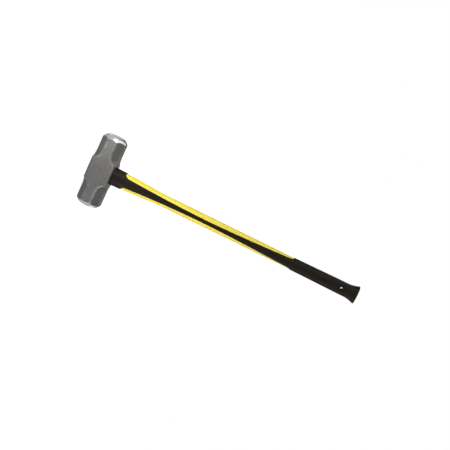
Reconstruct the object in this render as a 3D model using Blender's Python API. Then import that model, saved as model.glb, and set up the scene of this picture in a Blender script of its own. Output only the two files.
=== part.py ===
"""Sledgehammer with a double-faced steel head on a moulded fibreglass handle.

Units are metres and +Z is up. The hammer stands on its head with the handle pointing up.
The origin is the centre of the head's far side, where the eye shows the end of the handle.
+Z runs along the handle to the butt, and X runs along the head from one striking face to the other.

Six pieces, from the inside out:
  core          oval fibreglass rod
  jacket        yellow polypropylene moulded round the rod, with a tenon that enters the eye
  overmould     black rubber collar, two tapering tongues and grip, moulded in one shot
  head          forged steel block with chamfered ends and an hourglass eye
  eye_adhesive  cast epoxy sleeve that locks the tenon in the eye
  eye_seal      mastic ring that closes the eye under the collar
"""

import math

import bmesh
import bpy

# Clearance between pieces that touch.
GAP = 0.0003

# Overall sizes.
OVERALL_LENGTH = 0.8655
HEAD_LENGTH = 0.223
HEAD_WIDTH = 0.0735

# Head: square block in the middle, octagonal ends, bevelled and slightly crowned striking faces.
BLOCK_LENGTH = 0.063
SCOOP_LENGTH = 0.0265
CHAMFER_LEG = 0.0225
EDGE_BREAK = 0.0015
FACE_RADIUS = 0.027
FACE_FLAT_RADIUS = 0.013
FACE_CROWN = 0.0008
BEVEL_SLOPE = 1.05

# Eye through the head, and what fills it.
EYE_HEIGHT = 0.036
EYE_DEPTH = 0.027
EYE_FLARE = 0.0024
EYE_RECESS = 0.0015
ADHESIVE_WALL = 0.0018
TENON_WALL = 0.0032
SEAL_THICKNESS = 0.002

# Jacket: height is measured along X and depth along Y.
NECK_HEIGHT = 0.0488
NECK_DEPTH = 0.0404
NECK_TAPER = 0.150
WAIST_HEIGHT = 0.0364
WAIST_DEPTH = 0.0312
REAR_HEIGHT = 0.0340
REAR_DEPTH = 0.0300

# Overmould: collar, tongues and grip.
CHANNEL_DEPTH = 0.0022
COLLAR_LENGTH = 0.0350
COLLAR_ROOT_PROUD = 0.0028
COLLAR_END_PROUD = 0.0017
COLLAR_FLARE = 0.016
TONGUE_PROUD = 0.0004
TONGUE_NECK_WIDTH = 0.0290
TONGUE_WAIST_WIDTH = 0.0108
TONGUE_REAR_WIDTH = 0.0270
TONGUE_NECK_RUN = 0.261
TONGUE_NECK_POWER = 1.95
TONGUE_REAR_POWER = 1.45
TONGUE_WIDEST_SHARE = 0.93
GRIP_LENGTH = 0.2095
GRIP_FLARE = 0.018
FLARE_POWER = 2.2
GRIP_STEP = 0.003
GRIP_START_PROUD = 0.0017
GRIP_REAR_PROUD = 0.0032
BUTT_FLARE = 0.029
BUTT_PROUD = 0.0098
BUTT_POWER = 1.6
BUTT_CROWN = 0.0015
BUTT_ROUND = 0.003
BUTT_WALL = 0.009

# Hang hole through the grip, lined with the rubber of the overmould.
HANG_HOLE_DIAMETER = 0.0105
HANG_HOLE_FROM_BUTT = 0.0485
HANG_HOLE_LINING = 0.0015
CORE_STOP_WALL = 0.010

# Fullness of the two oval sections: 2 is an ellipse, more is squarer.
HANDLE_FULLNESS = 2.5
EYE_FULLNESS = 2.2

# Edges that turn more than this are kept crisp.
CRISP_ANGLE = math.radians(35)

# Facets.
TONGUE_COLUMNS = 8
SIDE_COLUMNS = 8
OVAL_COLUMNS = 32
FACE_COLUMNS = 48
CROWN_RINGS = 2
EYE_RINGS = 10
SCOOP_RINGS = 6
FLARE_RINGS = 5
NECK_RINGS = 9
REAR_RINGS = 8
BUTT_RINGS = 6
HOLE_COLUMNS = 24

# Places along the handle that follow from the sizes.
COLLAR_START = HEAD_WIDTH + GAP
COLLAR_END = COLLAR_START + COLLAR_LENGTH
TONGUE_START = COLLAR_END + COLLAR_FLARE
TONGUE_WAIST = TONGUE_START + TONGUE_NECK_RUN
GRIP_START = OVERALL_LENGTH - GRIP_LENGTH
TONGUE_END = GRIP_START - GRIP_FLARE
BUTT_RIM = OVERALL_LENGTH - BUTT_CROWN
BUTT_START = BUTT_RIM - BUTT_FLARE
HANG_HOLE_Z = OVERALL_LENGTH - HANG_HOLE_FROM_BUTT
JACKET_END = OVERALL_LENGTH - BUTT_WALL
CORE_END = HANG_HOLE_Z - HANG_HOLE_DIAMETER / 2 - CORE_STOP_WALL
TENON_END = HEAD_WIDTH + SEAL_THICKNESS + 2 * GAP
TENON_HALF = (EYE_HEIGHT / 2 - ADHESIVE_WALL, EYE_DEPTH / 2 - ADHESIVE_WALL)
CORE_HALF = (TENON_HALF[0] - TENON_WALL, TENON_HALF[1] - TENON_WALL)


# ---------------------------------------------------------------- shapes in numbers

def mix(start, end, share):
    return start + (end - start) * share


def ease(share):
    """Smooth step from 0 to 1."""
    share = min(1.0, max(0.0, share))
    return share * share * (3 - 2 * share)


def spread(start, end, count):
    """count values from start to end, both included."""
    return [mix(start, end, i / (count - 1)) for i in range(count)]


def oval_point(half_x, half_y, angle, fullness):
    """Point of a rounded section. Angle 0 is +Y, and a quarter turn is +X."""
    sine, cosine = math.sin(angle), math.cos(angle)
    x = half_x * math.copysign(abs(sine) ** (2 / fullness), sine)
    y = half_y * math.copysign(abs(cosine) ** (2 / fullness), cosine)
    return x, y


def oval_ring(half_x, half_y, z, fullness=EYE_FULLNESS, count=OVAL_COLUMNS):
    """Closed ring of points round the Z axis."""
    turn = 2 * math.pi / count
    return [(*oval_point(half_x, half_y, i * turn, fullness), z) for i in range(count)]


def jacket_half(z):
    """Half height and half depth of the jacket's outer surface."""
    neck = ease((z - COLLAR_END) / NECK_TAPER)
    rear = (z - COLLAR_END - NECK_TAPER) / (GRIP_START - COLLAR_END - NECK_TAPER)
    rear = min(1.0, max(0.0, rear))
    half_x = mix(mix(NECK_HEIGHT, WAIST_HEIGHT, neck), REAR_HEIGHT, rear) / 2
    half_y = mix(mix(NECK_DEPTH, WAIST_DEPTH, neck), REAR_DEPTH, rear) / 2
    return half_x, half_y


def grown(half, amount):
    return half[0] + amount, half[1] + amount


def tongue_places():
    """Places of the rings along the tongues, from the collar's end to the grip's start."""
    near = spread(COLLAR_END, TONGUE_START, FLARE_RINGS)
    neck = spread(TONGUE_START, TONGUE_WAIST, NECK_RINGS + 1)[1:]
    rear = spread(TONGUE_WAIST, TONGUE_END, REAR_RINGS + 1)[1:]
    far = spread(TONGUE_END, GRIP_START, FLARE_RINGS)[1:]
    return near + neck + rear + far


def smooth_half_width(z):
    """Half width of the tongue, which widens in a sweep to the collar and to the grip."""
    if z <= TONGUE_WAIST:
        reach = (TONGUE_WAIST - max(z, TONGUE_START)) / TONGUE_NECK_RUN
        width = mix(TONGUE_WAIST_WIDTH, TONGUE_NECK_WIDTH, reach ** TONGUE_NECK_POWER)
        flare = max(0.0, TONGUE_START - z) / COLLAR_FLARE
    else:
        reach = (min(z, TONGUE_END) - TONGUE_WAIST) / (TONGUE_END - TONGUE_WAIST)
        width = mix(TONGUE_WAIST_WIDTH, TONGUE_REAR_WIDTH, reach ** TONGUE_REAR_POWER)
        flare = max(0.0, z - TONGUE_END) / GRIP_FLARE
    widest = TONGUE_WIDEST_SHARE * jacket_half(z)[0]
    return mix(width / 2, widest, flare ** FLARE_POWER)


def tongue_half_width(z):
    """Half width of the faceted tongue, so that its edge and its channel run side by side."""
    places = tongue_places()
    z = min(max(z, places[0]), places[-1])
    for lower, upper in zip(places, places[1:]):
        if z <= upper:
            share = (z - lower) / (upper - lower)
            return mix(smooth_half_width(lower), smooth_half_width(upper), share)


def edge_angle(z, half_width):
    """Angle at which the jacket's section is half_width from the middle of its broad face."""
    share = half_width / jacket_half(z)[0]
    return math.asin(share ** (HANDLE_FULLNESS / 2))


def column_angles(tongue_edge, side_edge):
    """Angles round the handle: a tongue zone on +Y, a side zone on +X, and the same again."""
    angles = []
    for start in (0.0, math.pi):
        angles += spread(start - tongue_edge, start + tongue_edge, TONGUE_COLUMNS + 1)
        angles += spread(start + side_edge, start + math.pi - side_edge, SIDE_COLUMNS + 1)
    return angles


def is_side(column):
    """True for the columns of the two side zones."""
    return column % (TONGUE_COLUMNS + SIDE_COLUMNS + 2) > TONGUE_COLUMNS


# ---------------------------------------------------------------- meshes and objects

def make_material(name, colour, roughness, metallic):
    material = bpy.data.materials.new(name)
    material.use_nodes = True
    shader = material.node_tree.nodes["Principled BSDF"]
    shader.inputs["Base Color"].default_value = (*colour, 1.0)
    shader.inputs["Roughness"].default_value = roughness
    shader.inputs["Metallic"].default_value = metallic
    material.diffuse_color = (*colour, 1.0)
    return material


def make_object(name, mesh_data, material=None):
    """Object made from a bmesh, shaded smooth with crisp edges kept."""
    bmesh.ops.recalc_face_normals(mesh_data, faces=mesh_data.faces)
    mesh = bpy.data.meshes.new(name)
    mesh_data.to_mesh(mesh)
    mesh_data.free()
    mesh.shade_smooth()
    mesh.set_sharp_from_angle(angle=CRISP_ANGLE)
    made = bpy.data.objects.new(name, mesh)
    bpy.context.scene.collection.objects.link(made)
    if material:
        mesh.materials.append(material)
    return made


def loft(rings):
    """Closed body through rings with equal counts, capped at both ends."""
    body = bmesh.new()
    loops = [[body.verts.new(point) for point in ring] for ring in rings]
    for lower, upper in zip(loops, loops[1:]):
        bridge(body, lower, upper)
    body.faces.new(list(reversed(loops[0])))
    body.faces.new(loops[-1])
    return body


def bridge(body, lower, upper):
    """Quads between two closed loops of vertices."""
    count = len(lower)
    for i in range(count):
        j = (i + 1) % count
        body.faces.new((lower[i], lower[j], upper[j], upper[i]))


def make_guide(name, mesh_data):
    """Cutter object, which is hidden from the result."""
    guide = make_object(name, mesh_data)
    guide.hide_render = True
    guide.display_type = "WIRE"
    return guide


def add_boolean(target, tool, operation):
    modifier = target.modifiers.new(f"{operation.lower()}_{tool.name}", "BOOLEAN")
    modifier.object = tool
    modifier.operation = operation
    modifier.solver = "EXACT"


# ---------------------------------------------------------------- head

def head_ring(x, leg):
    """Square section across the head with its four corners cut by leg."""
    half = HEAD_WIDTH / 2
    flat = half - leg
    corners = [(half, flat), (flat, half), (-flat, half), (-half, flat)]
    corners += [(-y, -z) for y, z in corners]
    return [(x, y, half + z) for y, z in corners]


def chamfer_leg(x):
    """Leg of the corner cut, which scoops up to the block's edge in an arc."""
    reach = (BLOCK_LENGTH / 2 + SCOOP_LENGTH - abs(x)) / SCOOP_LENGTH
    reach = min(1.0, max(0.0, reach))
    depth = CHAMFER_LEG - EDGE_BREAK
    radius = (SCOOP_LENGTH ** 2 + depth ** 2) / (2 * depth)
    rise = radius - math.sqrt(radius ** 2 - (reach * SCOOP_LENGTH) ** 2)
    return CHAMFER_LEG - rise


def head_blank():
    """Octagonal bar with a square block in the middle."""
    block_end = BLOCK_LENGTH / 2
    side = spread(block_end, block_end + SCOOP_LENGTH, SCOOP_RINGS + 1)
    side.append(HEAD_LENGTH / 2 + HEAD_WIDTH)
    places = [-x for x in reversed(side)] + side
    return loft([head_ring(x, chamfer_leg(x)) for x in places])


def turned_envelope():
    """Turned body whose ends are the crowned faces and their cones."""
    outer = HEAD_WIDTH
    cone = (outer - FACE_RADIUS) * BEVEL_SLOPE
    end = HEAD_LENGTH / 2
    profile = []
    for share in spread(0, 1, CROWN_RINGS + 1):
        radius = mix(FACE_FLAT_RADIUS, FACE_RADIUS, share)
        profile.append((end - FACE_CROWN * share ** 2, radius))
    profile.append((end - FACE_CROWN - cone, outer))
    profile = [(-x, radius) for x, radius in profile] + list(reversed(profile))
    turn = 2 * math.pi / FACE_COLUMNS
    rings = []
    for x, radius in profile:
        spokes = [(i + 0.5) * turn for i in range(FACE_COLUMNS)]
        ring = [(x, radius * math.cos(a), HEAD_WIDTH / 2 + radius * math.sin(a)) for a in spokes]
        rings.append(ring)
    return loft(rings)


def eye_half(z):
    """Half sizes of the eye, narrowest in the middle of the head."""
    reach = (z - HEAD_WIDTH / 2) / (HEAD_WIDTH / 2)
    return grown((EYE_HEIGHT / 2, EYE_DEPTH / 2), EYE_FLARE * reach * reach)


def make_head():
    material = make_material("forged_steel", (0.16, 0.155, 0.15), 0.45, 0.75)
    head = make_object("head", head_blank(), material)
    faces = make_guide("guide_faces", turned_envelope())
    past = HEAD_WIDTH / EYE_RINGS
    places = spread(-past, HEAD_WIDTH + past, EYE_RINGS + 3)
    eye = make_guide("guide_eye", loft([oval_ring(*eye_half(z), z) for z in places]))
    add_boolean(head, faces, "INTERSECT")
    add_boolean(head, eye, "DIFFERENCE")


# ---------------------------------------------------------------- inside the eye

def ring_body(outer_rings, inner_rings):
    """Closed sleeve between an outer and an inner stack of rings."""
    body = bmesh.new()
    outer = [[body.verts.new(point) for point in ring] for ring in outer_rings]
    inner = [[body.verts.new(point) for point in ring] for ring in inner_rings]
    for lower, upper in zip(outer, outer[1:]):
        bridge(body, lower, upper)
    for lower, upper in zip(inner, inner[1:]):
        bridge(body, upper, lower)
    bridge(body, inner[0], outer[0])
    bridge(body, outer[-1], inner[-1])
    return body


def make_eye_adhesive():
    material = make_material("epoxy", (0.05, 0.045, 0.035), 0.3, 0.0)
    places = spread(EYE_RECESS, HEAD_WIDTH, EYE_RINGS + 1)
    outer = [oval_ring(*grown(eye_half(z), -GAP), z) for z in places]
    inner = [oval_ring(*grown(TENON_HALF, GAP), z) for z in (places[0], places[-1])]
    make_object("eye_adhesive", ring_body(outer, inner), material)


def make_eye_seal():
    material = make_material("mastic", (0.03, 0.03, 0.03), 0.8, 0.0)
    under = grown(jacket_half(COLLAR_START), -CHANNEL_DEPTH)
    places = (COLLAR_START, COLLAR_START + SEAL_THICKNESS)
    outer = [oval_ring(*under, z, HANDLE_FULLNESS) for z in places]
    inner = [oval_ring(*grown(TENON_HALF, GAP), z) for z in places]
    make_object("eye_seal", ring_body(outer, inner), material)


# ---------------------------------------------------------------- handle

def make_core():
    material = make_material("fibreglass", (0.62, 0.60, 0.45), 0.5, 0.0)
    rings = [oval_ring(*CORE_HALF, z) for z in (EYE_RECESS, CORE_END)]
    make_object("core", loft(rings), material)


def jacket_ring(z, exposed):
    """Ring of the jacket: full size with two channels where exposed, and reduced where covered."""
    width = tongue_half_width(z) + GAP
    angles = column_angles(edge_angle(z, width), edge_angle(z, width + GAP))
    full = jacket_half(z)
    floor = grown(full, -CHANNEL_DEPTH)
    ring = []
    for column, angle in enumerate(angles):
        half = full if exposed and is_side(column) else floor
        ring.append((*oval_point(*half, angle, HANDLE_FULLNESS), z))
    return ring


def tenon_ring(z):
    """Ring of the tenon, with as many points as a jacket ring."""
    width = tongue_half_width(COLLAR_START) + GAP
    angles = column_angles(edge_angle(COLLAR_START, width), edge_angle(COLLAR_START, width + GAP))
    return [(*oval_point(*TENON_HALF, angle, EYE_FULLNESS), z) for angle in angles]


def make_jacket():
    material = make_material("yellow_polypropylene", (0.90, 0.62, 0.03), 0.35, 0.0)
    places = tongue_places()
    rings = [tenon_ring(EYE_RECESS), tenon_ring(TENON_END)]
    rings += [jacket_ring(z, False) for z in (TENON_END, COLLAR_END + GAP)]
    rings += [jacket_ring(z, True) for z in [COLLAR_END + GAP, *places[1:-1], GRIP_START - GAP]]
    rings += [jacket_ring(z, False) for z in (GRIP_START - GAP, JACKET_END)]
    jacket = make_object("jacket", loft(rings), material)
    bore_half = grown(CORE_HALF, GAP)
    bore_rings = [oval_ring(*bore_half, z) for z in (-HEAD_WIDTH, CORE_END + GAP)]
    bore = make_guide("guide_core_bore", loft(bore_rings))
    hole = cross_hole("guide_jacket_hole", HANG_HOLE_DIAMETER / 2 + HANG_HOLE_LINING + GAP, HEAD_WIDTH)
    add_boolean(jacket, bore, "DIFFERENCE")
    add_boolean(jacket, hole, "DIFFERENCE")


def skin_rows():
    """Rows of the overmould's outer surface: place, and how far it stands above the jacket."""
    rows = [(COLLAR_START, COLLAR_ROOT_PROUD), (COLLAR_END, COLLAR_END_PROUD)]
    rows += [(z, TONGUE_PROUD) for z in tongue_places()[1:]]
    rows.append((GRIP_START + GRIP_STEP, GRIP_START_PROUD))
    for share in spread(0, 1, BUTT_RINGS):
        proud = mix(GRIP_REAR_PROUD, BUTT_PROUD, share ** BUTT_POWER)
        rows.append((mix(BUTT_START, BUTT_RIM, share), proud))
    rows.append((OVERALL_LENGTH, BUTT_PROUD - BUTT_ROUND))
    return rows


def skin_ring(z, amount, lift=None):
    """Ring of the overmould, amount above the jacket, with tongue and side columns."""
    edge = edge_angle(z, tongue_half_width(z))
    angles = []
    for start in (0.0, math.pi):
        angles += spread(start - edge, start + edge, TONGUE_COLUMNS + 1)
        angles += spread(start + edge, start + math.pi - edge, SIDE_COLUMNS + 1)[1:-1]
    half = grown(jacket_half(z), amount)
    return [(*oval_point(*half, angle, HANDLE_FULLNESS), lift or z) for angle in angles]


def skin_surface(body, rings, places):
    """Surface through the rings, left open at the sides between the collar and the grip."""
    rows = [[body.verts.new(point) for point in ring] for ring in rings]
    count = len(rows[0])
    for place, lower, upper in zip(places, rows, rows[1:]):
        sleeve = place < COLLAR_END or place >= GRIP_START
        for i in range(count):
            on_tongue = i % (TONGUE_COLUMNS + SIDE_COLUMNS) < TONGUE_COLUMNS
            if sleeve or on_tongue:
                j = (i + 1) % count
                body.faces.new((lower[i], lower[j], upper[j], upper[i]))
    body.faces.new(rows[-1])
    return rows


def make_overmould():
    """Collar, tongues and grip as one skin of rubber, closed at the butt and drilled across."""
    material = make_material("black_rubber", (0.018, 0.017, 0.015), 0.55, 0.0)
    rows = skin_rows()
    places = [z for z, _ in rows]
    under = GAP - CHANNEL_DEPTH
    covered = [z for z in places if z < BUTT_START]
    body = bmesh.new()
    outer = skin_surface(body, [skin_ring(z, proud) for z, proud in rows], places)
    inner_rings = [skin_ring(z, under) for z in covered]
    inner_rings.append(skin_ring(BUTT_START, under, JACKET_END + GAP))
    partner = {}
    open_edges = [edge for edge in body.edges if len(edge.link_faces) == 1]
    inner = skin_surface(body, inner_rings, places)
    for outer_row, inner_row in zip(outer, inner):
        partner.update(zip(outer_row, inner_row))
    for edge in open_edges:
        first, second = edge.verts
        body.faces.new((first, second, partner[second], partner[first]))
    loose = [vertex for vertex in body.verts if not vertex.link_faces]
    bmesh.ops.delete(body, geom=loose, context="VERTS")
    overmould = make_object("overmould", body, material)
    radius = HANG_HOLE_DIAMETER / 2
    lining = cross_hole("guide_lining", radius + HANG_HOLE_LINING, REAR_DEPTH / 2)
    hole = cross_hole("guide_hang_hole", radius, HEAD_WIDTH)
    add_boolean(overmould, lining, "UNION")
    add_boolean(overmould, hole, "DIFFERENCE")


def cross_hole(name, radius, reach):
    """Guide cylinder at the hang hole, along Y, reach long to each side of the middle."""
    turn = 2 * math.pi / HOLE_COLUMNS
    spokes = [(i + 0.5) * turn for i in range(HOLE_COLUMNS)]
    rim = [(radius * math.cos(angle), HANG_HOLE_Z + radius * math.sin(angle)) for angle in spokes]
    return make_guide(name, loft([[(x, y, z) for x, z in rim] for y in (-reach, reach)]))


def main():
    for old in list(bpy.data.objects):
        bpy.data.objects.remove(old)
    make_head()
    make_eye_adhesive()
    make_eye_seal()
    make_core()
    make_jacket()
    make_overmould()


main()
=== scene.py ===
"""Looks of the sledgehammer: detailed visible pieces, procedural materials, studio light and camera.

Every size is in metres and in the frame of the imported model: the hammer stands on its head,
+Z runs along the handle and X along the head. Places come from the boxes of the CAD nodes.
"""

import math

import bmesh
import bpy
import numpy as np
from mathutils import Matrix, Vector, noise


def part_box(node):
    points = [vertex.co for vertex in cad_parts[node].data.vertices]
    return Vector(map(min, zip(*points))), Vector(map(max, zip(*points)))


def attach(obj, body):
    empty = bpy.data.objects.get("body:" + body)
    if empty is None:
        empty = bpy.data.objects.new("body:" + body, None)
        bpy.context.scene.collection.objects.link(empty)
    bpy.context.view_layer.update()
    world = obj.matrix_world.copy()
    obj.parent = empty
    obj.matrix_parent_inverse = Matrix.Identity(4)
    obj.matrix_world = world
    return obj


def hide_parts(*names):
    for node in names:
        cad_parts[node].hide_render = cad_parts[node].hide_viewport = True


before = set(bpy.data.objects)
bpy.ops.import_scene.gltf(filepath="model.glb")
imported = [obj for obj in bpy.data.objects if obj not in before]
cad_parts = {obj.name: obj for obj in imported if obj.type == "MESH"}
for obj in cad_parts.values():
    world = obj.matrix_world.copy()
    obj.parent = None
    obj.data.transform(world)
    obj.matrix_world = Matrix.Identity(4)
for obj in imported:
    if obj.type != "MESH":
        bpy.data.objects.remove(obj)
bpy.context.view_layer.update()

# ---------------------------------------------------------------- sizes

HEAD_LOW, HEAD_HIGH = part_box("head")
JACKET_LOW, JACKET_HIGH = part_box("jacket")
SKIN_LOW, SKIN_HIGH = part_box("overmould")
CORE_LOW, CORE_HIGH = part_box("core")
EYE_FILL_LOW, EYE_FILL_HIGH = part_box("eye_adhesive")

GAP = 0.0003

# Head.
HEAD_LENGTH = HEAD_HIGH.x - HEAD_LOW.x
HEAD_WIDTH = HEAD_HIGH.z - HEAD_LOW.z
HEAD_CENTRE_Z = (HEAD_LOW.z + HEAD_HIGH.z) / 2
BLOCK_LENGTH = 0.063
SCOOP_LENGTH = 0.0265
CHAMFER_LEG = 0.0225
EDGE_BREAK = 0.0012
FACE_RADIUS = 0.0272
FACE_SAG = 0.0009
BEVEL_SLOPE = 1.05
CHAMFER_SOFTNESS = 0.0026
BEVEL_SOFTNESS = 0.0009
RIM_SOFTNESS = 0.0040
FORGING_WAVE = 0.00016
WAVE_COARSE = 45
WAVE_FINE = 130
GROUND_FADE = 0.002
EYE_HEIGHT = 0.036
EYE_DEPTH = 0.027
EYE_FLARE = 0.0024
EYE_LIP = 0.0016
EYE_FULLNESS = 2.2
MENISCUS_DIP = 0.0009
TENON_CLEARANCE = 0.0018

# Handle.
HANDLE_FULLNESS = 2.5
NECK_HALF = (0.0244, 0.0202)
WAIST_HALF = (0.0182, 0.0156)
REAR_HALF = (0.0170, 0.0150)
NECK_TAPER = 0.150
CHANNEL_DEPTH = 0.0022
SEAL_THICKNESS = 0.002
CORE_HALF = ((CORE_HIGH.x - CORE_LOW.x) / 2, (CORE_HIGH.y - CORE_LOW.y) / 2)
COLLAR_START = SKIN_LOW.z
COLLAR_LENGTH = 0.035
COLLAR_END = COLLAR_START + COLLAR_LENGTH
COLLAR_FADE_SHARE = 0.6
COLLAR_ROOT_PROUD = 0.0028
COLLAR_END_PROUD = 0.0017
COLLAR_FLARE = 0.016
TONGUE_START = COLLAR_END + COLLAR_FLARE
TONGUE_NECK_RUN = 0.261
TONGUE_WAIST = TONGUE_START + TONGUE_NECK_RUN
TONGUE_PROUD = 0.0004
TONGUE_NECK_WIDTH = 0.0290
TONGUE_WAIST_WIDTH = 0.0108
TONGUE_REAR_WIDTH = 0.0270
TONGUE_NECK_POWER = 1.95
TONGUE_REAR_POWER = 1.45
TONGUE_WIDEST_SHARE = 0.93
FLARE_POWER = 2.2
BUTT = SKIN_HIGH.z
GRIP_LENGTH = 0.2095
GRIP_START = BUTT - GRIP_LENGTH
GRIP_FLARE = 0.018
TONGUE_END = GRIP_START - GRIP_FLARE
GRIP_STEP = 0.003
GRIP_START_PROUD = 0.0017
GRIP_REAR_PROUD = 0.0032
BUTT_CROWN = 0.0015
BUTT_RIM = BUTT - BUTT_CROWN
BUTT_FLARE = 0.029
BUTT_START = BUTT_RIM - BUTT_FLARE
BUTT_PROUD = 0.0098
BUTT_ROUND = 0.003
BUTT_POWER = 1.6
HANG_HOLE_RADIUS = 0.00525
HANG_HOLE_FROM_BUTT = 0.0485
HANG_HOLE_Z = BUTT - HANG_HOLE_FROM_BUTT
HANG_HOLE_LIP = 0.0008
HANG_HOLE_LINING = 0.0015
PARTING_RIDGE = 0.00014
CHANNEL_SOFTNESS = 0.0005
RUBBER_SOFTNESS = 0.0006
CORE_SOFTNESS = 0.0006

# Edges that turn more than the first stay crisp. Those that turn more than the second get rounded.
CRISP_ANGLE = math.radians(38)
SOFTEN_ANGLE = math.radians(50)

# How far cutters go past what they cut.
CORE_CUTTER_REACH = 0.01
LIP_CUTTER_REACH = 0.02

# Mesh density.
HEAD_STEP = 0.0010
HEAD_COLUMNS = 320
CAP_ROWS = 66
CAP_REACH = 0.031
TONGUE_COLUMNS = 40
SIDE_COLUMNS = 36
STRIP_STEP = 0.0026
GRIP_STEP_LENGTH = 0.0016
OVAL_COLUMNS = 96
HOLE_COLUMNS = 64
RAY_HALVINGS = 34
EYE_LIP_RINGS = 6
EYE_RINGS = 18
HOLE_LIP_RINGS = 5
BUTT_ROUND_RINGS = 7
CORE_RINGS = 40
MENISCUS_RINGS = 13
SLEEVE_OUTER_RINGS = 20
SLEEVE_INNER_RINGS = 8

# Lengths and angles closer than these count as equal.
SAME_LENGTH = 1e-7
SAME_ANGLE = 1e-6


# ---------------------------------------------------------------- small helpers

def mix(start, end, share):
    return start + (end - start) * share


def clamp(share):
    return min(1.0, max(0.0, share))


def ease(share):
    share = clamp(share)
    return share * share * (3 - 2 * share)


def spread(start, end, count):
    return [mix(start, end, i / (count - 1)) for i in range(count)]


def places_between(start, end, step):
    """Evenly spaced places from start to end, about step apart."""
    return spread(start, end, max(2, round((end - start) / step) + 1))


def grown(half, amount):
    return half[0] + amount, half[1] + amount


def oval_point(half, angle, fullness):
    """Point of a rounded section. Angle 0 is +Y, and a quarter turn is +X."""
    sine, cosine = math.sin(angle), math.cos(angle)
    x = half[0] * math.copysign(abs(sine) ** (2 / fullness), sine)
    y = half[1] * math.copysign(abs(cosine) ** (2 / fullness), cosine)
    return x, y


def oval_ring(half, z):
    turn = 2 * math.pi / OVAL_COLUMNS
    return [(*oval_point(half, i * turn, EYE_FULLNESS), z) for i in range(OVAL_COLUMNS)]


def link(made):
    bpy.context.scene.collection.objects.link(made)
    return made


def shade(mesh):
    """Smooth shading that keeps the crisp edges."""
    mesh.shade_smooth()
    mesh.set_sharp_from_angle(angle=CRISP_ANGLE)


def object_from(name, body):
    """Scene object from a bmesh, which is used up."""
    bmesh.ops.recalc_face_normals(body, faces=body.faces)
    mesh = bpy.data.meshes.new(name)
    body.to_mesh(mesh)
    body.free()
    shade(mesh)
    return link(bpy.data.objects.new(name, mesh))


def delete_loose(body):
    loose = [vertex for vertex in body.verts if not vertex.link_faces]
    bmesh.ops.delete(body, geom=loose, context="VERTS")


def bridge(body, lower, upper):
    count = len(lower)
    for i in range(count):
        j = (i + 1) % count
        body.faces.new((lower[i], lower[j], upper[j], upper[i]))


def loft(rings):
    """Closed body through rings with equal counts."""
    body = bmesh.new()
    loops = [[body.verts.new(point) for point in ring] for ring in rings]
    for lower, upper in zip(loops, loops[1:]):
        bridge(body, lower, upper)
    body.faces.new(list(reversed(loops[0])))
    body.faces.new(loops[-1])
    return body


def apply_modifiers(piece):
    """Replaces the piece's mesh by its evaluated one."""
    bpy.context.view_layer.update()
    graph = bpy.context.evaluated_depsgraph_get()
    mesh = bpy.data.meshes.new_from_object(piece.evaluated_get(graph))
    piece.modifiers.clear()
    piece.data = mesh
    shade(mesh)


def cut(piece, cutter, operation="DIFFERENCE"):
    """Boolean that is applied at once, after which the cutter goes."""
    modifier = piece.modifiers.new("cut", "BOOLEAN")
    modifier.object = cutter
    modifier.operation = operation
    modifier.solver = "MANIFOLD"
    apply_modifiers(piece)
    bpy.data.objects.remove(cutter)


def soften(piece, width):
    """Rounds every edge that turns more than SOFTEN_ANGLE."""
    modifier = piece.modifiers.new("soften", "BEVEL")
    modifier.width = width
    modifier.segments = 2
    modifier.limit_method = "ANGLE"
    modifier.angle_limit = SOFTEN_ANGLE
    modifier.use_clamp_overlap = True
    apply_modifiers(piece)


def finish_piece(piece, node, material):
    """Puts the piece in the place of a CAD node."""
    piece.data.materials.clear()
    piece.data.materials.append(material)
    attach(piece, "root")
    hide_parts(node)


# ---------------------------------------------------------------- head

def smooth_max(first, second, softness):
    blend = np.maximum(softness - np.abs(first - second), 0) / softness
    return np.maximum(first, second) + blend * blend * softness / 4


def head_distances(x, y, z):
    """Distances to the head's sides, to its end bevels and to its faces, negative inside."""
    half = HEAD_WIDTH / 2
    along = np.abs(x)
    across_y, across_z = np.abs(y), np.abs(z - HEAD_CENTRE_Z)
    reach = np.clip((BLOCK_LENGTH / 2 + SCOOP_LENGTH - along) / SCOOP_LENGTH, 0, 1)
    depth = CHAMFER_LEG - EDGE_BREAK
    radius = (SCOOP_LENGTH ** 2 + depth ** 2) / (2 * depth)
    leg = CHAMFER_LEG - radius + np.sqrt(radius ** 2 - (reach * SCOOP_LENGTH) ** 2)
    chamfer = (across_y + across_z - 2 * half + leg) / math.sqrt(2)
    flats = smooth_max(across_y - half, across_z - half, BEVEL_SOFTNESS)
    sides = smooth_max(flats, chamfer, CHAMFER_SOFTNESS)
    from_axis = np.hypot(across_y, across_z)
    rise = along + BEVEL_SLOPE * (from_axis - FACE_RADIUS) - HEAD_LENGTH / 2 + FACE_SAG
    bevel = rise / math.hypot(1, BEVEL_SLOPE)
    face = along - HEAD_LENGTH / 2 + FACE_SAG * (from_axis / FACE_RADIUS) ** 2
    edge = 1 - np.abs(flats - chamfer) / (2 * CHAMFER_SOFTNESS)
    edge = edge * np.clip((leg - EDGE_BREAK) / CHAMFER_SOFTNESS, 0, 1)
    return sides, bevel, face, edge


def head_surface(start, direction):
    """Points where rays leave the head, found by halving."""
    near = np.zeros(start.shape[1])
    far = np.full(start.shape[1], HEAD_WIDTH)
    for _ in range(RAY_HALVINGS):
        middle = (near + far) / 2
        sides, bevel, face, _ = head_distances(*(start + direction * middle))
        body = smooth_max(sides, bevel, BEVEL_SOFTNESS)
        inside = smooth_max(body, face, RIM_SOFTNESS) < 0
        near = np.where(inside, middle, near)
        far = np.where(inside, far, middle)
    return start + direction * near


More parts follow.
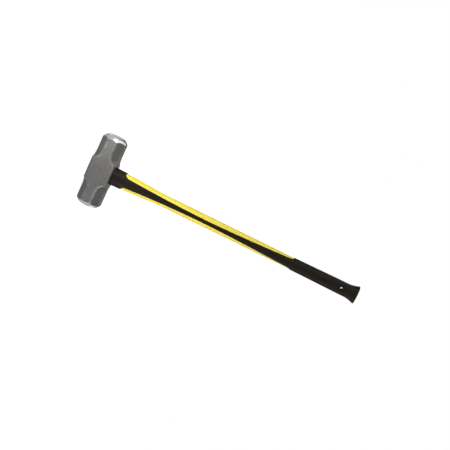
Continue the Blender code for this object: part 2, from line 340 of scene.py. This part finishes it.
def head_rays():
    """Rays from the head's axis: a fan at each end and parallel spokes between them."""
    root = HEAD_LENGTH / 2 - CAP_REACH
    fan = spread(0, math.pi / 2, CAP_ROWS)
    rows = [(-root, -math.cos(a), math.sin(a)) for a in fan[:-1]]
    rows += [(x, 0.0, 1.0) for x in places_between(-root, root, HEAD_STEP)]
    rows += [(root, math.cos(a), math.sin(a)) for a in reversed(fan[:-1])]
    origin, axial, radial = np.array(rows).T
    turn = (np.arange(HEAD_COLUMNS) + 0.5) * 2 * math.pi / HEAD_COLUMNS
    start = np.zeros((3, len(rows), HEAD_COLUMNS))
    start[0] = origin[:, None]
    start[2] = HEAD_CENTRE_Z
    direction = np.zeros_like(start)
    direction[0] = axial[:, None]
    direction[1] = radial[:, None] * np.cos(turn)
    direction[2] = radial[:, None] * np.sin(turn)
    return start.reshape(3, -1), direction.reshape(3, -1), len(rows)


def forging_wave(point):
    """Broad waves with finer, weaker ones on them."""
    return noise.noise(point * WAVE_COARSE) + 0.5 * noise.noise(point * WAVE_FINE)


def head_blank():
    """Forged head without its eye, with the marks that its material reads."""
    start, direction, rows = head_rays()
    points = head_surface(start, direction)
    sides, bevel, face, edge = head_distances(*points)
    ground = np.clip((np.maximum(bevel, face) - sides) / GROUND_FADE, -1, 1)
    wave = np.array([forging_wave(Vector(p)) for p in points.T])
    points = points - direction * wave * FORGING_WAVE * np.clip(-ground, 0, 1)
    points[2] = np.clip(points[2], HEAD_LOW.z, HEAD_HIGH.z)
    points[1] = np.clip(points[1], HEAD_LOW.y, HEAD_HIGH.y)
    columns = np.arange(HEAD_COLUMNS)
    following = (columns + 1) % HEAD_COLUMNS
    faces = []
    for row in range(1, rows - 2):
        base = row * HEAD_COLUMNS
        up = base + HEAD_COLUMNS
        faces += np.stack([base + columns, base + following, up + following, up + columns], 1).tolist()
    first_pole, last_pole = 0, (rows - 1) * HEAD_COLUMNS
    low, high = HEAD_COLUMNS, (rows - 2) * HEAD_COLUMNS
    faces += [[first_pole, low + int(j), low + int(i)] for i, j in zip(columns, following)]
    faces += [[last_pole, high + int(i), high + int(j)] for i, j in zip(columns, following)]
    mesh = bpy.data.meshes.new("steel_head")
    mesh.from_pydata(points.T.tolist(), [], faces)
    for name, values in (("ground", ground), ("edge", np.clip(edge, 0, 1))):
        layer = mesh.attributes.new(name, "FLOAT", "POINT")
        layer.data.foreach_set("value", values.astype(np.float32))
    body = bmesh.new()
    body.from_mesh(mesh)
    bpy.data.meshes.remove(mesh)
    delete_loose(body)
    return object_from("steel_head", body)


def eye_half(z):
    reach = (z - HEAD_CENTRE_Z) / (HEAD_WIDTH / 2)
    return grown((EYE_HEIGHT / 2, EYE_DEPTH / 2), EYE_FLARE * reach * reach)


def eye_cutter():
    """Hourglass eye whose two mouths have rounded lips."""
    rings = [oval_ring(grown(eye_half(0), EYE_LIP), -EYE_LIP)]
    for share in spread(0, 1, EYE_LIP_RINGS):
        drop = EYE_LIP * share
        lip = EYE_LIP - math.sqrt(EYE_LIP ** 2 - (EYE_LIP - drop) ** 2)
        rings.append(oval_ring(grown(eye_half(drop), lip), drop))
    rings += [oval_ring(eye_half(z), z) for z in spread(EYE_LIP, HEAD_WIDTH, EYE_RINGS)[1:]]
    rings.append(oval_ring(eye_half(HEAD_WIDTH), HEAD_WIDTH + EYE_LIP))
    return object_from("eye_cutter", loft(rings))


def make_head():
    head = head_blank()
    cut(head, eye_cutter())
    finish_piece(head, "head", forged_steel())


# ---------------------------------------------------------------- handle sections

def jacket_half(z):
    neck = ease((z - COLLAR_END) / NECK_TAPER)
    rear = (z - COLLAR_END - NECK_TAPER) / (GRIP_START - COLLAR_END - NECK_TAPER)
    rear = clamp(rear)
    return tuple(mix(mix(n, w, neck), r, rear) for n, w, r in zip(NECK_HALF, WAIST_HALF, REAR_HALF))


def tongue_half_width(z):
    if z <= TONGUE_WAIST:
        reach = (TONGUE_WAIST - max(z, TONGUE_START)) / (TONGUE_WAIST - TONGUE_START)
        width = mix(TONGUE_WAIST_WIDTH, TONGUE_NECK_WIDTH, reach ** TONGUE_NECK_POWER)
        flare = (TONGUE_START - z) / (TONGUE_START - COLLAR_END)
    else:
        reach = (min(z, TONGUE_END) - TONGUE_WAIST) / (TONGUE_END - TONGUE_WAIST)
        width = mix(TONGUE_WAIST_WIDTH, TONGUE_REAR_WIDTH, reach ** TONGUE_REAR_POWER)
        flare = (z - TONGUE_END) / (GRIP_START - TONGUE_END)
    flare = clamp(flare)
    widest = TONGUE_WIDEST_SHARE * jacket_half(z)[0]
    return mix(width / 2, widest, flare ** FLARE_POWER)


def edge_angle(z, half_width):
    return math.asin((half_width / jacket_half(z)[0]) ** (HANDLE_FULLNESS / 2))


def strip_places():
    """Rows between the collar and the grip, closer together in the two flares."""
    near = places_between(COLLAR_END, TONGUE_START, STRIP_STEP / 2)
    far = places_between(TONGUE_END, GRIP_START, STRIP_STEP / 2)
    return near + places_between(TONGUE_START, TONGUE_END, STRIP_STEP)[1:-1] + far


# ---------------------------------------------------------------- jacket

def jacket_ring(z, exposed):
    """Ring of the jacket, with two channels and two parting ridges where it is exposed."""
    width = tongue_half_width(z) + GAP
    edge, side = edge_angle(z, width), edge_angle(z, width + GAP / 2)
    full = jacket_half(z)
    floor = grown(full, -CHANNEL_DEPTH)
    ring = []
    for start in (0.0, math.pi):
        for angle in spread(start - edge, start + edge, TONGUE_COLUMNS // 2 + 1):
            ring.append((*oval_point(floor, angle, HANDLE_FULLNESS), z))
        middle = start + math.pi / 2
        for angle in spread(start + side, start + math.pi - side, SIDE_COLUMNS + 1):
            half = full if exposed else floor
            on_ridge = exposed and abs(angle - middle) < SAME_ANGLE
            half = grown(half, PARTING_RIDGE) if on_ridge else half
            ring.append((*oval_point(half, angle, HANDLE_FULLNESS), z))
    return ring


def tenon_ring(z):
    tenon = grown((EYE_HEIGHT / 2, EYE_DEPTH / 2), -TENON_CLEARANCE)
    places = jacket_ring(COLLAR_START, False)
    ring = []
    for x, y, _ in places:
        angle = math.atan2(x / tenon[0], y / tenon[1])
        ring.append((*oval_point(tenon, angle, EYE_FULLNESS), z))
    return ring


def hole_ring(radius, y):
    turns = [i * 2 * math.pi / HOLE_COLUMNS for i in range(HOLE_COLUMNS)]
    return [(radius * math.cos(a), y, HANG_HOLE_Z + radius * math.sin(a)) for a in turns]


def cross_cylinder(radius, reach):
    """Plain cylinder along Y at the hang hole."""
    return object_from("cross_cylinder", loft([hole_ring(radius, y) for y in (-reach, reach)]))


def hang_hole_cutter(lip_at):
    """Cylinder along Y with a rounded lip where it leaves the broad faces, lip_at from the middle."""
    profile = [(lip_at + LIP_CUTTER_REACH, HANG_HOLE_RADIUS + HANG_HOLE_LIP)]
    for share in spread(0, 1, HOLE_LIP_RINGS):
        sink = HANG_HOLE_LIP * share
        lip = HANG_HOLE_LIP - math.sqrt(HANG_HOLE_LIP ** 2 - (HANG_HOLE_LIP - sink) ** 2)
        profile.append((lip_at - sink, HANG_HOLE_RADIUS + lip))
    profile = [(-y, radius) for y, radius in profile] + profile[::-1]
    return object_from("hang_hole_cutter", loft([hole_ring(radius, y) for y, radius in profile]))


def make_jacket():
    tenon_end = HEAD_WIDTH + SEAL_THICKNESS + 2 * GAP
    rings = [tenon_ring(JACKET_LOW.z), tenon_ring(tenon_end)]
    rings += [jacket_ring(z, False) for z in (tenon_end, COLLAR_END + GAP)]
    exposed = [COLLAR_END + GAP, *strip_places()[1:-1], GRIP_START - GAP]
    rings += [jacket_ring(z, True) for z in exposed]
    rings += [jacket_ring(z, False) for z in (GRIP_START - GAP, HANG_HOLE_Z, JACKET_HIGH.z)]
    jacket = object_from("yellow_jacket", loft(rings))
    soften(jacket, CHANNEL_SOFTNESS)
    bore = grown(CORE_HALF, GAP)
    ends = (-CORE_CUTTER_REACH, CORE_HIGH.z + GAP)
    cut(jacket, object_from("core_cutter", loft([oval_ring(bore, z) for z in ends])))
    cut(jacket, cross_cylinder(HANG_HOLE_RADIUS + HANG_HOLE_LINING + GAP, HEAD_WIDTH))
    finish_piece(jacket, "jacket", yellow_plastic())


# ---------------------------------------------------------------- overmould

def skin_proud(z):
    """How far the rubber stands above the jacket's surface."""
    if z <= COLLAR_END:
        return mix(COLLAR_ROOT_PROUD, COLLAR_END_PROUD, (z - COLLAR_START) / (COLLAR_END - COLLAR_START))
    if z < GRIP_START:
        fade = COLLAR_FADE_SHARE * (TONGUE_START - COLLAR_END)
        return mix(COLLAR_END_PROUD, TONGUE_PROUD, ease((z - COLLAR_END) / fade))
    if z < BUTT_START:
        start = mix(TONGUE_PROUD, GRIP_START_PROUD, ease((z - GRIP_START) / GRIP_STEP))
        past_step = z > GRIP_START + GRIP_STEP
        share = ease((z - GRIP_START) / (BUTT_START - GRIP_START)) if past_step else 0
        return mix(start, GRIP_REAR_PROUD, share)
    share = min(1.0, (z - BUTT_START) / (BUTT_RIM - BUTT_START))
    return mix(GRIP_REAR_PROUD, BUTT_PROUD, share ** BUTT_POWER)


def skin_angles(z):
    edge = edge_angle(z, tongue_half_width(z))
    angles = []
    for start in (0.0, math.pi):
        angles += spread(start - edge, start + edge, TONGUE_COLUMNS + 1)
        angles += spread(start + edge, start + math.pi - edge, SIDE_COLUMNS + 1)[1:-1]
    return angles


def skin_ring(z, proud, lift=None):
    half = grown(jacket_half(z), proud)
    return [(*oval_point(half, angle, HANDLE_FULLNESS), lift or z) for angle in skin_angles(z)]


def skin_surface(body, rings, places):
    """Surface through the rings, open at the sides between the collar and the grip."""
    rows = [[body.verts.new(point) for point in ring] for ring in rings]
    count = len(rows[0])
    for place, lower, upper in zip(places, rows, rows[1:]):
        sleeve = place < COLLAR_END - SAME_LENGTH or place >= GRIP_START - SAME_LENGTH
        for i in range(count):
            on_tongue = i % (TONGUE_COLUMNS + SIDE_COLUMNS) < TONGUE_COLUMNS
            if sleeve or on_tongue:
                j = (i + 1) % count
                body.faces.new((lower[i], lower[j], upper[j], upper[i]))
    body.faces.new(rows[-1])
    return rows


def make_overmould():
    places = places_between(COLLAR_START, COLLAR_END, GRIP_STEP_LENGTH)[:-1] + strip_places()[:-1]
    places += places_between(GRIP_START, BUTT_START, GRIP_STEP_LENGTH)[:-1]
    covered = list(places)
    places += places_between(BUTT_START, BUTT_RIM, GRIP_STEP_LENGTH)
    rings = [skin_ring(z, skin_proud(z)) for z in places]
    for share in spread(0, 1, BUTT_ROUND_RINGS)[1:]:
        shrink = BUTT_ROUND * (1 - math.cos(share * math.pi / 2))
        z = mix(BUTT_RIM, BUTT, math.sin(share * math.pi / 2))
        rings.append(skin_ring(BUTT_RIM, BUTT_PROUD - shrink, z))
        places.append(z)
    under = GAP - CHANNEL_DEPTH
    body = bmesh.new()
    outer = skin_surface(body, rings, places)
    open_edges = [edge for edge in body.edges if len(edge.link_faces) == 1]
    inner_rings = [skin_ring(z, under) for z in covered]
    inner_rings.append(skin_ring(BUTT_START, under, JACKET_HIGH.z + GAP))
    inner = skin_surface(body, inner_rings, places)
    partner = {}
    for outer_row, inner_row in zip(outer, inner):
        partner.update(zip(outer_row, inner_row))
    for edge in open_edges:
        first, second = edge.verts
        body.faces.new((first, second, partner[second], partner[first]))
    delete_loose(body)
    rubber = object_from("rubber_overmould", body)
    soften(rubber, RUBBER_SOFTNESS)
    cut(rubber, cross_cylinder(HANG_HOLE_RADIUS + HANG_HOLE_LINING, REAR_HALF[1]), "UNION")
    cut(rubber, hang_hole_cutter(REAR_HALF[1] + skin_proud(HANG_HOLE_Z)))
    finish_piece(rubber, "overmould", black_rubber())


# ---------------------------------------------------------------- inside the eye

def make_core():
    rings = [oval_ring(CORE_HALF, z) for z in spread(CORE_LOW.z, CORE_HIGH.z, CORE_RINGS)]
    core = object_from("fibreglass_core", loft(rings))
    soften(core, CORE_SOFTNESS)
    finish_piece(core, "core", glass_fibre())


def make_eye_adhesive():
    """Cast sleeve whose open end climbs the eye's wall and the tenon in a meniscus."""
    tenon = grown((EYE_HEIGHT / 2, EYE_DEPTH / 2), GAP - TENON_CLEARANCE)
    low, high = EYE_FILL_LOW.z, EYE_FILL_HIGH.z
    rings = []
    for share in spread(0, 1, MENISCUS_RINGS):
        outer = grown(eye_half(low), -GAP)
        half = tuple(mix(t, o, share) for t, o in zip(tenon, outer))
        dip = MENISCUS_DIP * (1 - (2 * share - 1) ** 4)
        rings.append(oval_ring(half, low + dip))
    rings += [oval_ring(grown(eye_half(z), -GAP), z) for z in spread(low, high, SLEEVE_OUTER_RINGS)[1:]]
    rings += [oval_ring(tenon, z) for z in spread(high, low, SLEEVE_INNER_RINGS)]
    body = bmesh.new()
    loops = [[body.verts.new(point) for point in ring] for ring in rings[:-1]]
    for lower, upper in zip(loops, loops[1:] + loops[:1]):
        bridge(body, lower, upper)
    sleeve = object_from("epoxy_sleeve", body)
    finish_piece(sleeve, "eye_adhesive", cast_epoxy())


# ---------------------------------------------------------------- materials

class Recipe:
    """Short way to write a node material."""

    def __init__(self, name):
        self.material = bpy.data.materials.new(name)
        self.material.use_nodes = True
        self.nodes = self.material.node_tree.nodes
        self.links = self.material.node_tree.links
        self.shader = self.nodes["Principled BSDF"]
        self.place = self.nodes.new("ShaderNodeTexCoord").outputs["Object"]

    def join(self, value, socket):
        """Links an output to an input, or sets the input's own value."""
        if hasattr(value, "is_linked"):
            self.links.new(value, socket)
        else:
            socket.default_value = value

    def set(self, **values):
        for name, value in values.items():
            self.join(value, self.shader.inputs[name.replace("_", " ")])

    def stretched(self, scale):
        node = self.nodes.new("ShaderNodeMapping")
        node.inputs["Scale"].default_value = scale
        self.links.new(self.place, node.inputs["Vector"])
        return node.outputs["Vector"]

    def noise(self, scale, detail=3.0, roughness=0.55, place=None):
        node = self.nodes.new("ShaderNodeTexNoise")
        node.inputs["Scale"].default_value = scale
        node.inputs["Detail"].default_value = detail
        node.inputs["Roughness"].default_value = roughness
        self.links.new(place or self.place, node.inputs["Vector"])
        return node.outputs["Fac"]

    def cells(self, scale):
        node = self.nodes.new("ShaderNodeTexVoronoi")
        node.inputs["Scale"].default_value = scale
        self.links.new(self.place, node.inputs["Vector"])
        return node.outputs["Distance"]

    def ramp(self, value, low, high, to_low=0.0, to_high=1.0):
        """Value from low to high mapped smoothly from to_low to to_high."""
        node = self.nodes.new("ShaderNodeMapRange")
        node.interpolation_type = "SMOOTHSTEP"
        for name, number in zip(("From Min", "From Max", "To Min", "To Max"), (low, high, to_low, to_high)):
            node.inputs[name].default_value = number
        self.join(value, node.inputs["Value"])
        return node.outputs["Result"]

    def combine(self, operation, first, second):
        node = self.nodes.new("ShaderNodeMath")
        node.operation = operation
        self.join(first, node.inputs[0])
        self.join(second, node.inputs[1])
        return node.outputs["Value"]

    def mixed(self, factor, first, second, kind="RGBA"):
        """Mixture of two colours (or two numbers), each a value or an output."""
        node = self.nodes.new("ShaderNodeMix")
        node.data_type = kind
        pair = (6, 7) if kind == "RGBA" else (2, 3)
        self.join(factor, node.inputs[0])
        self.join(first, node.inputs[pair[0]])
        self.join(second, node.inputs[pair[1]])
        return node.outputs[2 if kind == "RGBA" else 0]

    def attribute(self, name):
        node = self.nodes.new("ShaderNodeAttribute")
        node.attribute_name = name
        return node.outputs["Fac"]

    def bumped(self, height, distance, strength=1.0, under=None):
        node = self.nodes.new("ShaderNodeBump")
        node.inputs["Distance"].default_value = distance
        self.join(strength, node.inputs["Strength"])
        self.links.new(height, node.inputs["Height"])
        if under:
            self.links.new(under, node.inputs["Normal"])
        return node.outputs["Normal"]


def forged_steel():
    """Dark lacquered forging, with ground bright steel on the bevels and the faces."""
    recipe = Recipe("forged_steel")
    cloud = recipe.noise(28, 4)
    mottle = recipe.noise(240, 5, 0.65)
    grain = recipe.noise(1500, 3)
    pits = recipe.ramp(recipe.cells(420), 0.08, 0.32)
    dark = recipe.mixed(recipe.ramp(cloud, 0.3, 0.7), (0.116, 0.114, 0.112, 1), (0.146, 0.143, 0.140, 1))
    dark = recipe.mixed(recipe.ramp(mottle, 0.35, 0.65), dark, (0.160, 0.157, 0.153, 1))
    worn = recipe.combine("MULTIPLY", recipe.attribute("edge"), recipe.ramp(recipe.noise(90, 4), 0.35, 0.6))
    dark = recipe.mixed(recipe.combine("MULTIPLY", worn, 0.35), dark, (0.42, 0.41, 0.39, 1))
    streaks = recipe.noise(900, 2, 0.6, recipe.stretched((1.0, 0.03, 0.03)))
    arcs = recipe.noise(500, 3, 0.6, recipe.stretched((0.05, 1.0, 0.05)))
    bright = recipe.mixed(streaks, (0.62, 0.62, 0.61, 1), (0.80, 0.80, 0.79, 1))
    ground = recipe.ramp(recipe.attribute("ground"), -0.12, 0.02)
    recipe.set(Base_Color=recipe.mixed(ground, dark, bright))
    rough_dark = recipe.ramp(mottle, 0.3, 0.7, 0.36, 0.50)
    rough_bright = recipe.ramp(arcs, 0.3, 0.7, 0.23, 0.33)
    recipe.set(Roughness=recipe.mixed(ground, rough_dark, rough_bright, "FLOAT"))
    recipe.set(Metallic=recipe.mixed(ground, 0.45, 1.0, "FLOAT"))
    forged = recipe.bumped(mottle, 0.00012, recipe.mixed(ground, 0.55, 0.0, "FLOAT"))
    forged = recipe.bumped(pits, 0.00008, recipe.mixed(ground, 0.35, 0.0, "FLOAT"), forged)
    forged = recipe.bumped(grain, 0.00003, 0.5, forged)
    recipe.set(Normal=recipe.bumped(streaks, 0.00002, recipe.mixed(ground, 0.0, 0.6, "FLOAT"), forged))
    return recipe.material


def yellow_plastic():
    recipe = Recipe("yellow_plastic")
    flow = recipe.noise(60, 3, 0.5, recipe.stretched((1.0, 1.0, 0.12)))
    fine = recipe.noise(1800, 2)
    colour = recipe.mixed(recipe.ramp(flow, 0.3, 0.7), (0.90, 0.71, 0.038, 1), (0.95, 0.78, 0.052, 1))
    recipe.set(Base_Color=colour, Roughness=recipe.ramp(recipe.noise(35, 4), 0.3, 0.7, 0.26, 0.40))
    soft = recipe.bumped(flow, 0.00015, 0.4)
    recipe.set(Normal=recipe.bumped(fine, 0.00002, 0.12, soft), Specular_IOR_Level=0.5)
    return recipe.material


def black_rubber():
    recipe = Recipe("black_rubber")
    stipple = recipe.cells(1500)
    cloud = recipe.noise(40, 4)
    dark, light = (0.0054, 0.0042, 0.0028, 1), (0.0088, 0.0068, 0.0046, 1)
    colour = recipe.mixed(recipe.ramp(cloud, 0.3, 0.7), dark, light)
    recipe.set(Base_Color=colour, Roughness=recipe.ramp(cloud, 0.3, 0.7, 0.42, 0.56))
    coarse = recipe.bumped(recipe.noise(260, 3), 0.00008, 0.3)
    recipe.set(Normal=recipe.bumped(stipple, 0.00012, 0.55, coarse))
    recipe.set(Specular_IOR_Level=0.19, Specular_Tint=(1.0, 0.90, 0.78, 1))
    return recipe.material


def glass_fibre():
    """Pultruded rod: fine strands along Z, which show as dots on the cut end."""
    recipe = Recipe("glass_fibre")
    strands = recipe.noise(2600, 2, 0.6, recipe.stretched((1.0, 1.0, 0.01)))
    colour = recipe.mixed(recipe.ramp(strands, 0.35, 0.65), (0.50, 0.47, 0.30, 1), (0.78, 0.75, 0.60, 1))
    recipe.set(Base_Color=colour, Roughness=recipe.ramp(strands, 0.3, 0.7, 0.5, 0.7))
    recipe.set(Normal=recipe.bumped(strands, 0.00006, 0.6))
    return recipe.material


def cast_epoxy():
    recipe = Recipe("cast_epoxy")
    bubbles = recipe.ramp(recipe.cells(700), 0.05, 0.22)
    colour = recipe.mixed(bubbles, (0.025, 0.02, 0.015, 1), (0.06, 0.05, 0.038, 1))
    recipe.set(Base_Color=colour, Roughness=recipe.ramp(recipe.noise(200, 3), 0.3, 0.7, 0.18, 0.4))
    recipe.set(Normal=recipe.bumped(bubbles, 0.0001, 0.6))
    return recipe.material


def mastic():
    recipe = Recipe("mastic")
    lumps = recipe.noise(500, 4)
    recipe.set(Base_Color=recipe.mixed(lumps, (0.02, 0.02, 0.02, 1), (0.06, 0.06, 0.055, 1)))
    recipe.set(Roughness=recipe.ramp(lumps, 0.3, 0.7, 0.7, 0.9), Normal=recipe.bumped(lumps, 0.0002, 0.7))
    return recipe.material


# ---------------------------------------------------------------- stage, light and camera

CAMERA_LENS = 64.0
CAMERA_TARGET = Vector((-0.0151, 0.0024, 0.4329))
CAMERA_DISTANCE = 2.341
CAMERA_AZIMUTH = math.radians(-10.0)
CAMERA_ELEVATION = math.radians(2.5)
CAMERA_ROLL = math.radians(116.09)

FLOOR_HALF = 30
FLOOR_DROP = 0.0002
FLOOR_GLOW_UNDER = 0.32
FLOOR_GLOW_ENDS = 0.48
# What the camera sees of the floor: the distances between which its glow changes, and both glows.
FLOOR_SEEN = (0.15, 0.9, 0.70, 1.0)
# The distances between which the glow that lights the hammer fades out, and its shares there.
FLOOR_GLOW_FADE = (1.6, 2.4, 1.0, 0.0)
# Shares of the head's length between which the glow changes from under it to its ends.
FLOOR_GLOW_SHARES = (0.45, 0.65)
# Brighter spots of the floor, which the camera doesn't see but the steel reflects: place, radius
# and glow.
FLOOR_PATCHES = (((-0.065, -0.085, 0), 0.065, 1.6), ((-0.145, 0.055, 0), 0.05, 0.5))
AMBIENT = 0.06

# Name, place, side of the square in metres, and power in watts. They aim at the handle's middle.
HANDLE_MIDDLE = Vector((0, 0, 0.4))
SOFTBOXES = (
    ("front_left", (-1.0, -1.9, 0.4), 1.4, 14),
    ("front_right", (1.0, -1.9, 0.4), 1.4, 6),
    ("side_left", (-1.9, -1.2, 0.4), 1.4, 8),
    ("side_right", (1.9, -1.2, 0.4), 1.4, 17),
    ("high_right", (1.3, -1.2, 1.7), 1.4, 5),
    ("end_left", (-2.2, -0.1, 0.4), 1.4, 7),
    ("end_left_high", (-1.8, -0.1, 1.7), 1.4, 6),
    ("rear_left", (-1.4, 1.0, 1.8), 1.0, 4),
    ("rear_right", (1.9, 1.0, 0.4), 1.0, 4),
    ("rear_low", (0.5, 2.2, 0.4), 0.8, 2),
    ("rear_bevel", (-0.8, 1.5, 1.25), 0.9, 2.5),
    ("rear_high", (0.2, 1.3, 2.9), 1.2, 5),
)
# Small lamps that aim at the head, for the highlights on its bevels and cheeks.
HEAD_LAMPS = (
    ("head_left", (-0.30, -0.35, 0.06), 0.25, 0.75),
    ("head_right", (0.40, -0.50, 0.12), 0.25, 0.5),
    ("head_collar", (0.55, -0.33, 0.08), 0.15, 0.4),
    ("head_cheek", (-0.09, -0.22, 0.022), 0.06, 0.055),
    ("head_bevel", (-0.50, 0.16, 0.34), 0.26, 0.15),
    ("head_bevel_left", (-0.60, -0.13, 0.01), 0.14, 0.16),
)


def add_camera():
    data = bpy.data.cameras.new("camera")
    data.lens = CAMERA_LENS
    camera = link(bpy.data.objects.new("camera", data))
    level = math.cos(CAMERA_ELEVATION)
    side, front = math.sin(CAMERA_AZIMUTH), -math.cos(CAMERA_AZIMUTH)
    back = Vector((side * level, front * level, math.sin(CAMERA_ELEVATION)))
    turn = back.to_track_quat("Z", "Y").to_matrix() @ Matrix.Rotation(CAMERA_ROLL, 3, "Z")
    camera.matrix_world = Matrix.Translation(CAMERA_TARGET + back * CAMERA_DISTANCE) @ turn.to_4x4()
    bpy.context.scene.camera = camera


def camera_or_other(nodes, links, for_camera, for_others):
    """Shader output that the camera sees as one thing and all other rays as another.

    Only the floor and the world use it. No piece of the hammer does.
    """
    path = nodes.new("ShaderNodeLightPath")
    mixer = nodes.new("ShaderNodeMixShader")
    links.new(path.outputs["Is Camera Ray"], mixer.inputs["Fac"])
    links.new(for_others, mixer.inputs[1])
    links.new(for_camera, mixer.inputs[2])
    return mixer.outputs["Shader"]


def add_floor():
    """White floor to the camera, and to all other rays a dimmer one that glows onto the head."""
    body = bmesh.new()
    bmesh.ops.create_grid(body, x_segments=1, y_segments=1, size=FLOOR_HALF)
    floor = object_from("floor", body)
    floor.location.z = -FLOOR_DROP
    recipe = Recipe("floor")
    nodes, links = recipe.nodes, recipe.links
    recipe.set(Base_Color=(0.9, 0.9, 0.9, 1), Roughness=0.9, Specular_IOR_Level=0.0)
    reach = nodes.new("ShaderNodeVectorMath")
    reach.operation = "LENGTH"
    links.new(recipe.place, reach.inputs[0])
    recipe.set(Emission_Color=(1, 1, 1, 1))
    recipe.set(Emission_Strength=recipe.ramp(reach.outputs["Value"], *FLOOR_SEEN))
    parts = nodes.new("ShaderNodeSeparateXYZ")
    links.new(recipe.place, parts.inputs[0])
    along = recipe.combine("ABSOLUTE", parts.outputs["X"], 0.0)
    bounce = nodes.new("ShaderNodeBsdfPrincipled")
    bounce.inputs["Base Color"].default_value = (0.2, 0.2, 0.2, 1)
    bounce.inputs["Specular IOR Level"].default_value = 0.0
    bounce.inputs["Emission Color"].default_value = (1, 1, 1, 1)
    near = recipe.ramp(reach.outputs["Value"], *FLOOR_GLOW_FADE)
    under, ends = (HEAD_LENGTH * share for share in FLOOR_GLOW_SHARES)
    glow = recipe.ramp(along, under, ends, FLOOR_GLOW_UNDER, FLOOR_GLOW_ENDS)
    glow = recipe.combine("MULTIPLY", glow, near)
    for place, radius, strength in FLOOR_PATCHES:
        apart = nodes.new("ShaderNodeVectorMath")
        apart.operation = "DISTANCE"
        apart.inputs[1].default_value = place
        links.new(recipe.place, apart.inputs[0])
        patch = recipe.ramp(apart.outputs["Value"], 0.0, radius, strength, 0.0)
        glow = recipe.combine("ADD", glow, patch)
    links.new(glow, bounce.inputs["Emission Strength"])
    out = camera_or_other(nodes, links, recipe.shader.outputs["BSDF"], bounce.outputs["BSDF"])
    links.new(out, nodes["Material Output"].inputs["Surface"])
    floor.data.materials.append(recipe.material)


def add_world():
    world = bpy.data.worlds.new("studio")
    bpy.context.scene.world = world
    world.use_nodes = True
    nodes, links = world.node_tree.nodes, world.node_tree.links
    seen = nodes["Background"]
    seen.inputs["Color"].default_value = (1, 1, 1, 1)
    dim = nodes.new("ShaderNodeBackground")
    dim.inputs["Color"].default_value = (1, 1, 1, 1)
    dim.inputs["Strength"].default_value = AMBIENT
    out = camera_or_other(nodes, links, seen.outputs["Background"], dim.outputs["Background"])
    links.new(out, nodes["World Output"].inputs["Surface"])


def add_light(name, place, side, power, target):
    data = bpy.data.lights.new(name, "AREA")
    data.shape = "SQUARE"
    data.size = side
    data.energy = power
    light = link(bpy.data.objects.new(name, data))
    light.location = place
    light.rotation_euler = (Vector(place) - target).to_track_quat("Z", "Y").to_euler()
    light.visible_camera = False


def add_lights():
    for name, place, side, power in SOFTBOXES:
        add_light(name, place, side, power, HANDLE_MIDDLE)
    for name, place, side, power in HEAD_LAMPS:
        add_light(name, place, side, power, Vector((0, 0, HEAD_CENTRE_Z)))


# ---------------------------------------------------------------- the scene

make_head()
make_jacket()
make_overmould()
make_core()
make_eye_adhesive()
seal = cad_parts["eye_seal"]
seal.data.materials.clear()
seal.data.materials.append(mastic())
add_world()
add_floor()
add_lights()
add_camera()
bpy.context.scene.view_settings.view_transform = "Standard"
